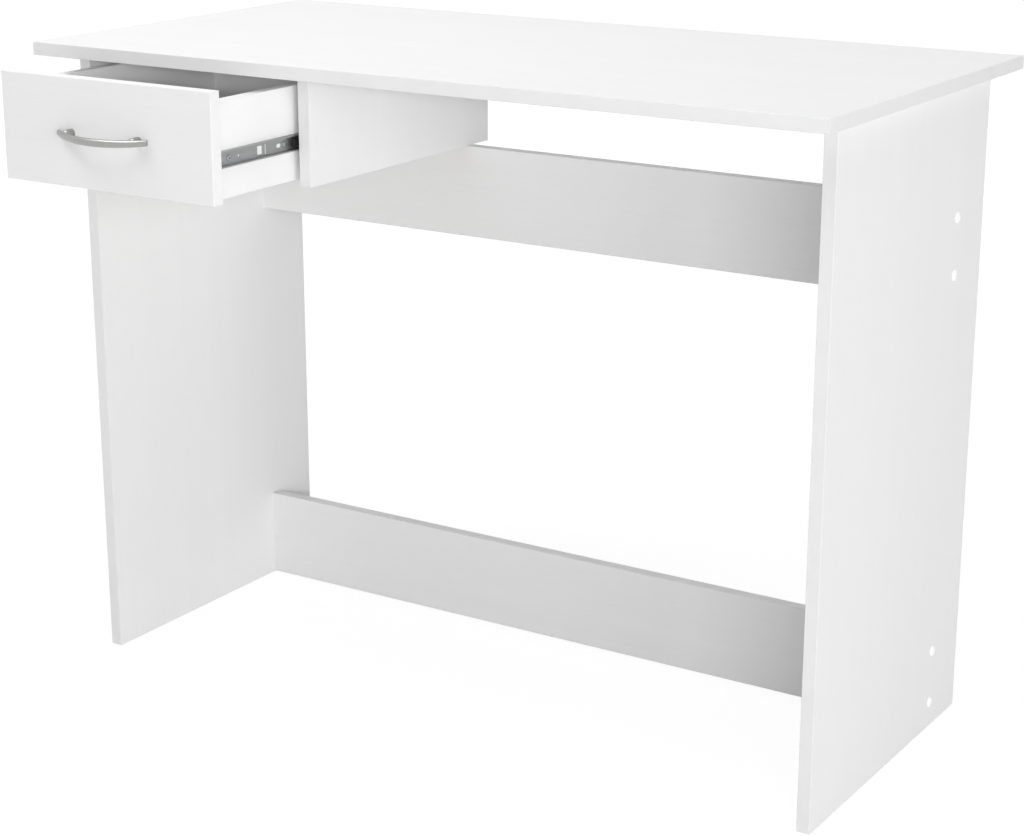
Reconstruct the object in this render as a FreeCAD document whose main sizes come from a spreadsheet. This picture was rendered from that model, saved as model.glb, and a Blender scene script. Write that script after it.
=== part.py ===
import FreeCAD, Part
import Sketcher
import math
import os
import re

# Writing desk of melamine-faced board with one inset drawer on ball-bearing slides.
# Millimetres, +Z up, the front faces -Y. The origin is on the floor, midway across the desk
# and midway between the front of the open drawer's pull and the desktop's rear edge.

sizes = {
    # desktop and carcase
    "desk_width": 1000,
    "desk_depth": 502,
    "desk_height": 760,
    "board": 15,              # carcase boards and drawer front
    "side_overhang": 17.5,    # desktop past the side panels
    "front_overhang": 57,
    "rear_overhang": 51,
    "rail_height": 112,
    "rail_inset": 67,         # rails' rear face in from the side panels' rear edge
    "lower_rail_lift": 1,     # lower rail clear of the floor
    "bay_width": 304,         # drawer bay, side panel to partition
    "bay_height": 127.5,      # upper rail to desktop
    "partition_past_rail": 33,  # partition's rear edge behind the rails' rear face
    "band": 1,                # edge band thickness
    "band_round": 0.7,
    # drawer
    "drawer_open": 145.5,     # how far the drawer stands open at rest
    "front_gap": 2,           # drawer front to bay, sides and below
    "front_top_gap": 4,
    "side_thick": 12,         # drawer sides and back
    "side_height": 105,
    "side_length": 340,
    "drawer_lift": 5.5,       # drawer sides above the upper rail's top edge
    "bottom_thick": 3,
    "bottom_inset": 1,        # hardboard's rear edge in from the back's rear face
    "groove_lift": 8,
    "groove_depth": 6,
    "groove_play": 0.3,
    # pull
    "pull_length": 128,       # tip to tip
    "pull_pitch": 96,         # post to post
    "pull_rise": 23.8,        # bar's centre line in front of the drawer front, at its middle
    "pull_droop": 2.6,        # and below the posts there
    "pull_tall": 8.6,
    "pull_thick": 7,
    "pull_tip_rise": 3.4,     # bar's centre line in front of the drawer front, at its tips
    "pull_tip_tall": 7,
    "pull_tip_thick": 5,
    "pull_tip_round": 1.6,
    "pull_post": 9,
    "pull_post_round": 3.4,
    "pull_screw": 4,
    "pull_screw_bite": 5,
    "pull_screw_hole": 4.6,
    "pull_head": 8,
    "pull_head_tall": 2.4,
    # slides: u runs from the bay's wall towards the drawer, w up and down from the slide's middle
    "slide_length": 300,
    "slide_height": 27,
    "slide_thick": 10,
    "slide_rise": 43,         # slide's middle above the drawer sides' lower edge
    "slide_setback": 1,       # slide's front end behind the drawer front's rear face
    "slide_overlap": 71.7,    # drawer rail still in the cabinet rail at full travel
    "slide_sheet": 1.2,
    "slide_flange": 1.6,
    "slide_lip_gap": 1,       # cabinet rail's lips to the drawer side
    "member_height": 18,      # drawer rail
    "bumper_length": 8,
    "bumper_tall": 16,
    "stop_gap": 0.3,          # drawer rail to bumper with the drawer shut
    "running_gap": 0.4,
    "ball": 3.9,
    "ball_play": 0.15,
    "ball_count": 6,          # in each row
    "cage_sheet": 0.6,
    "cage_play": 0.1,
    "cage_lip": 0.6,          # cage beyond its ball holes
    "cage_end": 6,            # end ball's middle to the cage's end
    "cage_margin": 2,         # cage inside the rails at full travel
    # slide screws, places along each rail from its front end and, for the last, its rear end
    "slide_screw": 3.4,
    "slide_screw_bite": 9.5,
    "slide_head": 7,
    "slide_head_tall": 1.5,
    "cabinet_screw_first": 21,
    "cabinet_screw_last": 55,
    "drawer_screw_first": 19,
    "drawer_screw_last": 48.7,
    "screw_step": 96,
    # openings punched in the drawer rail, from its front end
    "pip_hole": 3.6,
    "pip_place": 36,
    "window_place": 72,
    "window_long": 9,
    "window_tall": 9.6,
    "slot_place": 82,
    "slot_long": 2.6,
    "slot_tall": 11,
    "oval_place": 105,
    "oval_long": 8,
    "oval_tall": 4.6,
    # release lever in each drawer rail
    "lever_place": 166,       # pivot behind the rail's front end
    "lever_reach": 37,
    "lever_pad_tall": 9,
    "lever_pad_long": 13,
    "lever_arm_tall": 5,
    "lever_hub": 9,
    "lever_gap": 0.3,
    "rivet": 3,
    "rivet_head": 6,
    "rivet_head_tall": 0.6,
    # cam locks, bolts and dowels
    "hole_play": 0.1,         # hole over its peg, on the diameter
    "hole_spare": 0.5,        # hole past the end of its peg
    "cam": 15,
    "cam_depth": 12,
    "small_cam_depth": 10,
    "cam_setback": 34,        # cam's middle from the joint
    "cam_bolt": 6.4,
    "cam_neck": 4,
    "cam_thread": 5,
    "cam_thread_long": 10,
    "cam_head_long": 4,
    "cam_edge": 60,           # cams in from the boards' front and rear edges
    "small_cam_edge": 20,     # cams in from the drawer sides' upper and lower edges
    "dowel": 8,
    "dowel_long": 30,
    "dowel_in_top": 10,
    "dowel_edge": 110,
    "small_dowel": 6,
    "small_dowel_long": 24,
    "small_dowel_in_front": 9,
    # screws through the side panels into the rails, and their caps
    "rail_screw_low": 29,     # lower screw above the rail's lower edge
    "rail_screw_pitch": 64,
    "rail_screw": 7,
    "rail_screw_thread": 5,
    "rail_screw_long": 49,
    "rail_screw_head": 10,
    "rail_screw_head_tall": 3.5,
    "rail_screw_socket": 4,
    "rail_screw_socket_deep": 3,
    "cap": 12.5,
    "cap_tall": 1.6,
    "cap_round": 1.1,
    "cap_peg": 2.5,
    # drawer back and bottom screws
    "back_screw": 3.5,
    "back_screw_long": 34,
    "back_screw_head": 7,
    "back_screw_head_tall": 2.5,
    "back_screw_edge": 26,    # in from the back's upper and lower edges
    "pin": 2.4,
    "pin_long": 16,
    "pin_head": 5,
    "pin_head_tall": 1.2,
    "pin_edge": 30,
}

# Places and sizes worked out from those above
worked_out = {
    "panel_height": "desk_height - board",
    "pull_reach": "pull_rise + pull_thick / 2",
    "top_front": "0 - (desk_depth + front_overhang - drawer_open - pull_reach) / 2",
    "panel_front": "top_front + front_overhang",
    "panel_rear": "top_front + desk_depth - rear_overhang",
    "panel_outer": "desk_width / 2 - side_overhang",
    "panel_inner": "panel_outer - board",
    "panel_middle": "panel_inner + board / 2",
    "rail_front": "panel_rear - rail_inset - board",
    "rail_middle": "rail_front + board / 2",
    "bay_floor": "panel_height - bay_height",
    "bay_left": "0 - panel_inner",
    "bay_right": "bay_left + bay_width",
    "bay_middle": "bay_left + bay_width / 2",
    "partition_middle": "bay_right + board / 2",
    "partition_rear": "rail_front + board + partition_past_rail",
    "partition_depth": "partition_rear - panel_front",
    "upper_rail_bottom": "bay_floor - rail_height",
    "front_face": "panel_front - drawer_open",
    "front_back": "front_face + board",
    "front_width": "bay_width - 2 * front_gap",
    "front_bottom": "bay_floor + front_gap",
    "front_height": "bay_height - front_gap - front_top_gap",
    "pull_middle": "front_bottom + front_height / 2",
    "pull_tilt": "atan(pull_droop / pull_rise)",
    "pull_lean": "sqrt(pull_rise * pull_rise + pull_droop * pull_droop) / pull_rise",
    "pull_sag": "(pull_rise - pull_tip_rise) * pull_lean",
    "pull_radius": "(pull_length * pull_length / 4 + pull_sag * pull_sag) / (2 * pull_sag)",
    "pull_post_sag": "pull_radius - sqrt(pull_radius * pull_radius - pull_pitch * pull_pitch / 4)",
    "pull_post_long": "pull_rise - pull_post_sag / pull_lean",
    "box_bottom": "bay_floor + drawer_lift",
    "box_top": "box_bottom + side_height",
    "box_rear": "front_back + side_length",
    "box_outer": "bay_width / 2 - slide_thick",
    "box_inner": "box_outer - side_thick",
    "side_middle": "box_outer - side_thick / 2",
    "back_bottom": "box_bottom + groove_lift + bottom_thick",
    "back_middle": "box_rear - side_thick / 2",
    "slide_middle": "box_bottom + slide_rise",
    "cabinet_rail_front": "panel_front + board + slide_setback",
    "drawer_rail_front": "front_back + slide_setback",
    "drawer_rail_length": "slide_length - bumper_length - stop_gap",
    "slide_travel": "drawer_rail_length - slide_overlap",
    "cage_u": "slide_sheet + slide_head_tall + running_gap",
    "member_tip": "cage_u + cage_sheet + running_gap",
    "ball_u": "(member_tip + slide_thick - slide_sheet) / 2",
    "ball_w": "(slide_height / 2 - slide_flange + member_height / 2) / 2",
    "ball_race": "ball + 2 * ball_play",
    "cage_hole": "ball + 2 * cage_play",
    "cage_tip": "ball_u + cage_hole / 2 + cage_lip",
    "cage_half": "ball_w + cage_sheet / 2",
    "cage_length": "slide_overlap - 2 * cage_margin",
    "cage_front": "cabinet_rail_front + (slide_travel - drawer_open) / 2 + cage_margin",
    "ball_pitch": "(cage_length - 2 * cage_end) / (ball_count - 1)",
    "lever_outer": "slide_thick - slide_sheet - lever_gap",
    "rivet_tip": "member_tip",
    "lever_inner": "rivet_tip + rivet_head_tall + lever_gap",
    "cam_hole": "cam + hole_play",
    "cam_bore": "cam_bolt + 2 * running_gap",
    "cam_bolt_hole": "cam_bolt + hole_play",
    "cam_thread_hole": "cam_thread + hole_play",
    "cam_bolt_reach": "cam_setback - cam / 2",
    "cam_bore_deep": "cam / 2 + cam_head_long",
    "cam_front_y": "panel_front + cam_edge",
    "cam_rear_y": "panel_rear - cam_edge",
    "partition_cam_y": "partition_rear - cam_edge",
    "dowel_hole": "dowel + hole_play",
    "dowel_in_panel": "dowel_long - dowel_in_top",
    "dowel_front_y": "panel_front + dowel_edge",
    "dowel_rear_y": "panel_rear - dowel_edge",
    "partition_dowel_y": "panel_front + partition_depth / 2",
    "small_dowel_hole": "small_dowel + hole_play",
    "small_dowel_in_side": "small_dowel_long - small_dowel_in_front",
    "small_cam_low": "box_bottom + small_cam_edge",
    "small_cam_high": "box_top - small_cam_edge",
    "small_dowel_z": "box_bottom + side_height / 2",
    "slide_screw_hole": "slide_screw + hole_play",
    "rail_screw_seat": "panel_outer - rail_screw_head_tall",
    "back_screw_low": "back_bottom + back_screw_edge",
    "back_screw_high": "box_top - back_screw_edge",
}

axes = "XYZ"
planes = {"X": "YZ_Plane", "Y": "XZ_Plane", "Z": "XY_Plane"}
across = {"X": "YZ", "Y": "XZ", "Z": "XY"}   # a plane's own two directions
nearly = 0.01

doc = FreeCAD.newDocument("writing_desk")
sheet = doc.addObject("Spreadsheet::Sheet", "dims")
for row, (name, value) in enumerate(sizes.items(), start=1):
    sheet.set(f"A{row}", name)
    sheet.set(f"B{row}", str(value))
    sheet.setAlias(f"B{row}", name)
doc.recompute()

nodes = []    # finished sub-parts, in the order they are made
corners = {}  # each body's low corner, in the desk's frame


def formula(text):
    def cell(word):
        if word[0] in sizes:
            return "dims." + word[0]
        if word[0] in worked_out:
            return "(" + formula(worked_out[word[0]]) + ")"
        return word[0]
    return re.sub(r"[a-z][a-z_]*", cell, text)


def bind(thing, path, text):
    thing.setExpression(path, formula(text))


def new_body(label, corner):
    body = doc.addObject("PartDesign::Body", label)
    body.Label = label
    body.AllowCompound = True
    for axis, text in zip("xyz", corner):
        bind(body, "Placement.Base." + axis, text)
    corners[label] = corner
    nodes.append(body)
    return body


def origin_plane(body, role):
    return next(feature for feature in body.Origin.OriginFeatures if feature.Role == role)


def new_sketch(body, axis, offset):
    sketch = body.newObject("Sketcher::SketchObject", body.Name + "_sketch")
    sketch.AttachmentSupport = [(origin_plane(body, planes[axis]), "")]
    sketch.MapMode = "FlatFace"
    # the XZ plane looks along -Y
    bind(sketch, "AttachmentOffset.Base.z", f"0 - ({offset})" if axis == "Y" else offset)
    return sketch


def datum(sketch, kind, parts, text, start=1.0):
    index = sketch.addConstraint(Sketcher.Constraint(kind, *parts, start))
    bind(sketch, f"Constraints[{index}]", text)


def locate(sketch, geometry, point, u, v, start=(1.0, 1.0)):
    datum(sketch, "DistanceX", (-1, 1, geometry, point), u, start[0])
    datum(sketch, "DistanceY", (-1, 1, geometry, point), v, start[1])


def draw_circles(sketch, centres, diameter):
    for u, v in centres:
        circle = Part.Circle(FreeCAD.Vector(1, 1, 0), FreeCAD.Vector(0, 0, 1), 0.5)
        index = sketch.addGeometry(circle, False)
        datum(sketch, "Diameter", (index,), diameter)
        locate(sketch, index, 3, u, v)


def draw_outline(sketch, points):
    count = len(points)
    turn = 2 * math.pi / count
    ring = [FreeCAD.Vector(math.cos(turn * k), math.sin(turn * k), 0) for k in range(count)]
    lines = [sketch.addGeometry(Part.LineSegment(ring[k - 1], ring[k]), False) for k in range(count)]
    for k, (u, v) in enumerate(points):
        sketch.addConstraint(Sketcher.Constraint("Coincident", lines[k - 1], 2, lines[k], 1))
        locate(sketch, lines[k], 1, u, v)


def draw_box(sketch, u, v, long, tall):
    far_u = f"{u} + {long}"
    far_v = f"{v} + {tall}"
    draw_outline(sketch, [(u, v), (far_u, v), (far_u, far_v), (u, far_v)])


def draw_ellipse(sketch, u, v, wide, tall):
    middle = FreeCAD.Vector(0, 0, 0)
    ellipse = Part.Ellipse(FreeCAD.Vector(0, 2, 0), FreeCAD.Vector(1, 0, 0), middle)
    index = sketch.addGeometry(ellipse, False)
    sketch.exposeInternalGeometry(index)
    sketch.addConstraint(Sketcher.Constraint("Vertical", index + 1))
    datum(sketch, "Distance", (index + 1,), tall, 4.0)
    datum(sketch, "Distance", (index + 2,), wide, 2.0)
    locate(sketch, index, 3, u, v)


def pad(body, axis, sketch, length):
    feature = body.newObject("PartDesign::Pad", body.Name + "_pad")
    feature.Profile = sketch
    feature.Reversed = axis == "Y"
    bind(feature, "Length", length)
    return feature


def cut(body, axis, sketch, depth, upwards):
    doc.recompute()
    before = body.Shape.Volume
    feature = body.newObject("PartDesign::Pocket", body.Name + "_pocket")
    feature.Profile = sketch
    feature.Reversed = upwards != (axis == "Y")
    bind(feature, "Length", depth)
    doc.recompute()
    if body.Shape.Volume >= before:
        raise ValueError("a pocket of " + body.Label + " cuts nothing")
    return feature


def from_corner(body, axis, u, v):
    low = [corners[body.Label][axes.index(name)] for name in across[axis]]
    return f"{u} - ({low[0]})", f"{v} - ({low[1]})"


def board(label, corner, size):
    body = new_body(label, corner)
    sketch = new_sketch(body, "Z", "0")
    draw_box(sketch, "0", "0", size[0], size[1])
    pad(body, "Z", sketch, size[2])
    body.addProperty("App::PropertyStringList", "Extent")
    body.Extent = size
    return body


def face(body, axis, side):
    return body.Extent[axes.index(axis)] if side == "high" else "0"


def drill(body, axis, side, centres, diameter, depth):
    sketch = new_sketch(body, axis, face(body, axis, side))
    draw_circles(sketch, [from_corner(body, axis, u, v) for u, v in centres], diameter)
    return cut(body, axis, sketch, depth, side == "low")


def rout(body, axis, side, low, long, tall, depth):
    sketch = new_sketch(body, axis, face(body, axis, side))
    u, v = from_corner(body, axis, *low)
    draw_box(sketch, u, v, long, tall)
    return cut(body, axis, sketch, depth, side == "low")


def turned(body, axis, centres, steps):
    # round steps on one axis, each with its diameter, start and length
    features = []
    for diameter, start, length in steps:
        sketch = new_sketch(body, axis, start)
        draw_circles(sketch, centres, diameter)
        features.append(pad(body, axis, sketch, length))
    return features


def mirror(body, features):
    twin = body.newObject("PartDesign::Mirrored", body.Name + "_mirror")
    twin.Originals = features
    twin.MirrorPlane = (origin_plane(body, "YZ_Plane"), [""])
    body.Tip = twin
    return twin


def reach(shape, k):
    box = shape.BoundBox
    return ((box.XMin, box.XMax), (box.YMin, box.YMax), (box.ZMin, box.ZMax))[k]


def round_edges(body, wanted, radius):
    base = body.Tip
    edges = enumerate(base.Shape.Edges, start=1)
    feature = body.newObject("PartDesign::Fillet", body.Name + "_round")
    feature.Base = (base, [f"Edge{k}" for k, edge in edges if wanted(edge.CenterOfMass)])
    bind(feature, "Radius", radius)
    return feature


def band_ring(label, axis, corner, width, height):
    # edge band round all four edges of a board that lies square to the axis
    body = new_body(label, corner)
    sketch = new_sketch(body, axis, "0")
    draw_box(sketch, "0", "0", width, height)
    draw_box(sketch, "band", "band", f"{width} - 2 * band", f"{height} - 2 * band")
    pad(body, axis, sketch, "board")
    doc.recompute()
    ends = [reach(body.Tip.Shape, k) for k in range(3)]

    def on_rim(point):
        touching = [min(abs(point[k] - end) for end in ends[k]) < nearly for k in range(3)]
        return touching[axes.index(axis)] and sum(touching) == 2
    round_edges(body, on_rim, "band_round")
    return body


def band_strips(label, axis, corner, strips, length):
    # straight bands along the axis, in pairs on opposite edges of a board
    body = new_body(label, corner)
    sketch = new_sketch(body, axis, "0")
    for u, v in strips:
        draw_box(sketch, u, v, "board", "band")
    pad(body, axis, sketch, length)
    doc.recompute()
    along = axes.index(axis)
    thin = axes.index(across[axis][-1])
    pairs = sorted({tuple(round(end, 3) for end in reach(solid, thin)) for solid in body.Tip.Shape.Solids})
    outer = [pair[k % 2] for k, pair in enumerate(pairs)]
    ends = reach(body.Tip.Shape, along)

    def on_outside(point):
        inside = ends[0] + nearly < point[along] < ends[1] - nearly
        return inside and min(abs(point[thin] - end) for end in outer) < nearly
    round_edges(body, on_outside, "band_round")
    return body


def group(label, *members):
    compound = doc.addObject("Part::Compound", label)
    compound.Label = label
    compound.Links = members
    nodes.append(compound)
    return compound


# Where the fastenings are, in the desk's frame

side_cam_ys = ("cam_front_y", "cam_rear_y")
partition_cam_ys = ("cam_front_y", "partition_cam_y")
side_dowel_ys = ("dowel_front_y", "dowel_rear_y")
rail_bottoms = ("lower_rail_lift", "upper_rail_bottom")
rail_screw_zs = [f"{bottom} + rail_screw_low{step}" for bottom in rail_bottoms
                 for step in ("", " + rail_screw_pitch")]
cabinet_screws_along = ("cabinet_screw_first", "cabinet_screw_first + screw_step",
                        "slide_length - cabinet_screw_last")
drawer_screws_along = ("drawer_screw_first", "drawer_screw_first + screw_step",
                       "drawer_rail_length - drawer_screw_last")
cabinet_screw_ys = [f"cabinet_rail_front + {place}" for place in cabinet_screws_along]
drawer_screw_ys = [f"drawer_rail_front + {place}" for place in drawer_screws_along]
small_cam_zs = ("small_cam_low", "small_cam_high")
back_screw_zs = ("back_screw_low", "back_screw_high")
pull_xs = ("bay_middle - pull_pitch / 2", "bay_middle + pull_pitch / 2")
pin_xs = ("bay_middle - box_inner + pin_edge", "bay_middle", "bay_middle + box_inner - pin_edge")

cam_bolt_places = [(f"{sign} * panel_middle", y) for sign in ("-1", "1") for y in side_cam_ys]
cam_bolt_places += [("partition_middle", y) for y in partition_cam_ys]
top_dowel_places = [(f"{sign} * panel_middle", y) for sign in ("-1", "1") for y in side_dowel_ys]
top_dowel_places += [("partition_middle", "partition_dowel_y")]


# Desktop

desktop = board(
    "desktop",
    ("band - desk_width / 2", "top_front + band", "panel_height"),
    ("desk_width - 2 * band", "desk_depth - 2 * band", "board"))
drill(desktop, "Z", "low", cam_bolt_places, "cam_thread_hole", "cam_thread_long + hole_spare")
drill(desktop, "Z", "low", top_dowel_places, "dowel_hole", "dowel_in_top + hole_spare")
band_ring("desktop_edge_band", "Z", ("0 - desk_width / 2", "top_front", "panel_height"),
          "desk_width", "desk_depth")


# Side panels

def side_panel(label, corner_x, sign, inner, outer):
    body = board(
        label,
        (corner_x, "panel_front + band", "0"),
        ("board", "panel_rear - panel_front - 2 * band", "panel_height"))
    middle = f"{sign} * panel_middle"
    drill(body, "Z", "high", [(middle, y) for y in side_cam_ys], "cam_bolt_hole", "cam_setback")
    drill(body, "Z", "high", [(middle, y) for y in side_dowel_ys],
          "dowel_hole", "dowel_in_panel + hole_spare")
    drill(body, "X", inner, [(y, "panel_height - cam_setback") for y in side_cam_ys],
          "cam_hole", "cam_depth")
    screws = [("rail_middle", z) for z in rail_screw_zs]
    drill(body, "X", outer, screws, "rail_screw + hole_play", "board")
    drill(body, "X", outer, screws, "rail_screw_head + hole_play", "rail_screw_head_tall")
    return body


left_panel = side_panel("left_side_panel", "0 - panel_outer", "-1", "high", "low")
drill(left_panel, "X", "high", [(y, "slide_middle") for y in cabinet_screw_ys],
      "slide_screw_hole", "slide_screw_bite + hole_spare")
side_panel("right_side_panel", "panel_inner", "1", "low", "high")
band_strips(
    "side_panel_edge_bands", "Z", ("0", "panel_front", "0"),
    [(x, y) for x in ("0 - panel_outer", "panel_inner") for y in ("0", "panel_rear - panel_front - band")],
    "panel_height")


# Rear rails

rail_bands = band_strips(
    "rail_edge_bands", "X", ("0 - panel_inner", "rail_front", "0"),
    [("0", f"{bottom}{step}") for bottom in rail_bottoms for step in ("", " + rail_height - band")],
    "2 * panel_inner")


def rear_rail(label, bottom):
    body = board(
        label,
        ("0 - panel_inner", "rail_front", f"{bottom} + band"),
        ("2 * panel_inner", "board", "rail_height - 2 * band"))
    screws = [("rail_middle", f"{bottom} + rail_screw_low{step}") for step in ("", " + rail_screw_pitch")]
    for side in ("low", "high"):
        drill(body, "X", side, screws, "rail_screw_thread + hole_play",
              "rail_screw_long - board + hole_spare")
    return body


rear_rail("lower_rear_rail", "lower_rail_lift")
upper_rail = rear_rail("upper_rear_rail", "upper_rail_bottom")
partition_dowel_place = [("partition_middle", "rail_middle")]
drill(upper_rail, "Z", "high", partition_dowel_place, "dowel_hole", "dowel_in_panel + hole_spare - band")
band_hole = new_sketch(rail_bands, "Z", "bay_floor")
draw_circles(band_hole, [from_corner(rail_bands, "Z", *partition_dowel_place[0])], "dowel_hole")
cut(rail_bands, "Z", band_hole, "band", False)


# Partition beside the drawer

partition = board(
    "drawer_partition",
    ("bay_right", "panel_front + band", "bay_floor"),
    ("board", "partition_depth - 2 * band", "bay_height"))
drill(partition, "Z", "high", [("partition_middle", y) for y in partition_cam_ys],
      "cam_bolt_hole", "cam_setback")
drill(partition, "Z", "high", [("partition_middle", "partition_dowel_y")],
      "dowel_hole", "dowel_in_panel + hole_spare")
drill(partition, "Z", "low", partition_dowel_place, "dowel_hole", "dowel_in_top + hole_spare")
drill(partition, "X", "low", [(y, "panel_height - cam_setback") for y in partition_cam_ys],
      "cam_hole", "cam_depth")
drill(partition, "X", "low", [(y, "slide_middle") for y in cabinet_screw_ys],
      "slide_screw_hole", "slide_screw_bite + hole_spare")
band_strips("partition_edge_bands", "Z", ("bay_right", "panel_front", "bay_floor"),
            [("0", "0"), ("0", "partition_depth - band")], "bay_height")


# Carcase fastenings

rail_screws = new_body("rail_screws", ("0", "rail_middle", "0"))
screw_spots = [("0", z) for z in rail_screw_zs]
screw_steps_in = turned(rail_screws, "X", screw_spots, (
    ("rail_screw_thread", "panel_outer - rail_screw_long", "rail_screw_long - board"),
    ("rail_screw", "panel_inner", "board - rail_screw_head_tall"),
    ("rail_screw_head", "rail_screw_seat", "rail_screw_head_tall"),
))
socket = new_sketch(rail_screws, "X", "panel_outer")
draw_circles(socket, screw_spots, "rail_screw_socket")
screw_socket = cut(rail_screws, "X", socket, "rail_screw_socket_deep", False)
mirror(rail_screws, screw_steps_in + [screw_socket])

screw_caps = new_body("screw_caps", ("0", "rail_middle", "0"))
cap_parts = turned(screw_caps, "X", screw_spots, (
    ("cap", "panel_outer", "cap_tall"),
    ("rail_screw_socket - hole_play", "panel_outer - cap_peg", "cap_peg"),
))
doc.recompute()
cap_face = reach(screw_caps.Tip.Shape, 0)[1]
cap_parts.append(round_edges(screw_caps, lambda point: abs(point.x - cap_face) < nearly, "cap_round"))
mirror(screw_caps, cap_parts)

bolt_steps = (
    ("cam_thread", "0", "cam_thread_long"),
    ("cam_bolt", "0 - cam_bolt_reach", "cam_bolt_reach"),
    ("cam_neck", "0 - cam_setback", "cam / 2"),
    ("cam_bolt", "0 - cam_setback - cam_head_long / 2", "cam_head_long"),
)
turned(new_body("desktop_cam_bolts", ("0", "0", "panel_height")), "Z", cam_bolt_places, bolt_steps)


def cam_locks(label, corner, start, depth, centres, bore_axis, bore_start, bore_centres, upwards):
    body = new_body(label, corner)
    features = turned(body, "X", centres, (("cam", start, depth),))
    bore = new_sketch(body, bore_axis, bore_start)
    draw_circles(bore, bore_centres, "cam_bore")
    features.append(cut(body, bore_axis, bore, "cam_bore_deep", upwards))
    return body, features


panel_cams = cam_locks(
    "side_panel_cam_locks", ("0", "0", "panel_height - cam_setback"),
    "panel_inner", "cam_depth", [(y, "0") for y in side_cam_ys],
    "Z", "cam / 2", [("panel_middle", y) for y in side_cam_ys], False)
mirror(*panel_cams)
cam_locks(
    "partition_cam_locks", ("bay_right", "0", "panel_height - cam_setback"),
    "0", "cam_depth", [(y, "0") for y in partition_cam_ys],
    "Z", "cam / 2", [("board / 2", y) for y in partition_cam_ys], False)

turned(new_body("desktop_dowels", ("0", "0", "panel_height")), "Z", top_dowel_places,
       (("dowel", "0 - dowel_in_panel", "dowel_long"),))
turned(new_body("partition_dowel", ("partition_middle", "rail_middle", "bay_floor")), "Z", [("0", "0")],
       (("dowel", "0 - dowel_in_panel", "dowel_long"),))


# Drawer front

drawer_front = board(
    "drawer_front",
    ("bay_left + front_gap + band", "front_face", "front_bottom + band"),
    ("front_width - 2 * band", "board", "front_height - 2 * band"))
front_cams = [(f"bay_middle + {sign} * side_middle", z) for sign in ("-1", "1") for z in small_cam_zs]
front_dowels = [(f"bay_middle + {sign} * side_middle", "small_dowel_z") for sign in ("-1", "1")]
drill(drawer_front, "Y", "high", front_cams, "cam_thread_hole", "cam_thread_long + hole_spare")
drill(drawer_front, "Y", "high", front_dowels, "small_dowel_hole", "small_dowel_in_front + hole_spare")
drill(drawer_front, "Y", "high", [(x, "pull_middle") for x in pull_xs], "pull_screw_hole", "board")
rout(drawer_front, "Y", "high", ("bay_middle - box_inner - groove_depth", "box_bottom + groove_lift"),
     "2 * (box_inner + groove_depth)", "bottom_thick + groove_play", "groove_depth")
band_ring("drawer_front_edge_band", "Y", ("bay_left + front_gap", "front_face", "front_bottom"),
          "front_width", "front_height")


# Drawer box

def drawer_side(label, corner_x, sign, inner, outer):
    body = board(
        label,
        (corner_x, "front_back", "box_bottom"),
        ("side_thick", "side_length", "side_height - band"))
    middle = f"bay_middle + {sign} * side_middle"
    cam_y = "front_back + cam_setback"
    drill(body, "Y", "low", [(middle, z) for z in small_cam_zs], "cam_bolt_hole", "cam_setback")
    drill(body, "Y", "low", [(middle, "small_dowel_z")],
          "small_dowel_hole", "small_dowel_in_side + hole_spare")
    drill(body, "X", inner, [(cam_y, z) for z in small_cam_zs], "cam_hole", "small_cam_depth")
    rout(body, "X", inner, ("front_back", "box_bottom + groove_lift"),
         "side_length", "bottom_thick + groove_play", "groove_depth")
    drill(body, "X", outer, [(y, "slide_middle") for y in drawer_screw_ys],
          "slide_screw_hole", "slide_screw_bite + hole_spare")
    screws = [("back_middle", z) for z in back_screw_zs]
    drill(body, "X", outer, screws, "back_screw + hole_play", "side_thick")
    drill(body, "X", outer, screws, "back_screw_head + hole_play", "back_screw_head_tall")
    return body


drawer_side("drawer_left_side", "bay_middle - box_outer", "-1", "high", "low")
drawer_side("drawer_right_side", "bay_middle + box_inner", "1", "low", "high")

drawer_back = board(
    "drawer_back",
    ("bay_middle - box_inner", "box_rear - side_thick", "back_bottom"),
    ("2 * box_inner", "side_thick", "box_top - back_bottom - band"))
for end in ("low", "high"):
    drill(drawer_back, "X", end, [("back_middle", z) for z in back_screw_zs],
          "back_screw + hole_play", "back_screw_long - side_thick + hole_spare")
drill(drawer_back, "Z", "low", [(x, "back_middle") for x in pin_xs],
      "pin + hole_play", "pin_long - bottom_thick + hole_spare")


def box_band(name, x, y, long, wide):
    strip = doc.addObject("Part::Box", name)
    bind(strip, "Length", long)
    bind(strip, "Width", wide)
    bind(strip, "Height", "band")
    for axis, text in zip("xyz", (x, y, "box_top - band")):
        bind(strip, "Placement.Base." + axis, text)
    return strip


group(
    "drawer_box_edge_bands",
    box_band("left_side_band", "bay_middle - box_outer", "front_back", "side_thick", "side_length"),
    box_band("right_side_band", "bay_middle + box_inner", "front_back", "side_thick", "side_length"),
    box_band("back_band", "bay_middle - box_inner", "box_rear - side_thick", "2 * box_inner", "side_thick"))

drawer_bottom = board(
    "drawer_bottom",
    ("bay_middle - box_inner - groove_depth + groove_play", "front_back - groove_depth + groove_play",
     "box_bottom + groove_lift"),
    ("2 * (box_inner + groove_depth - groove_play)",
     "side_length + groove_depth - groove_play - bottom_inset", "bottom_thick"))
drill(drawer_bottom, "Z", "low", [(x, "back_middle") for x in pin_xs], "pin + hole_play", "bottom_thick")


# Drawer fastenings

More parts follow.
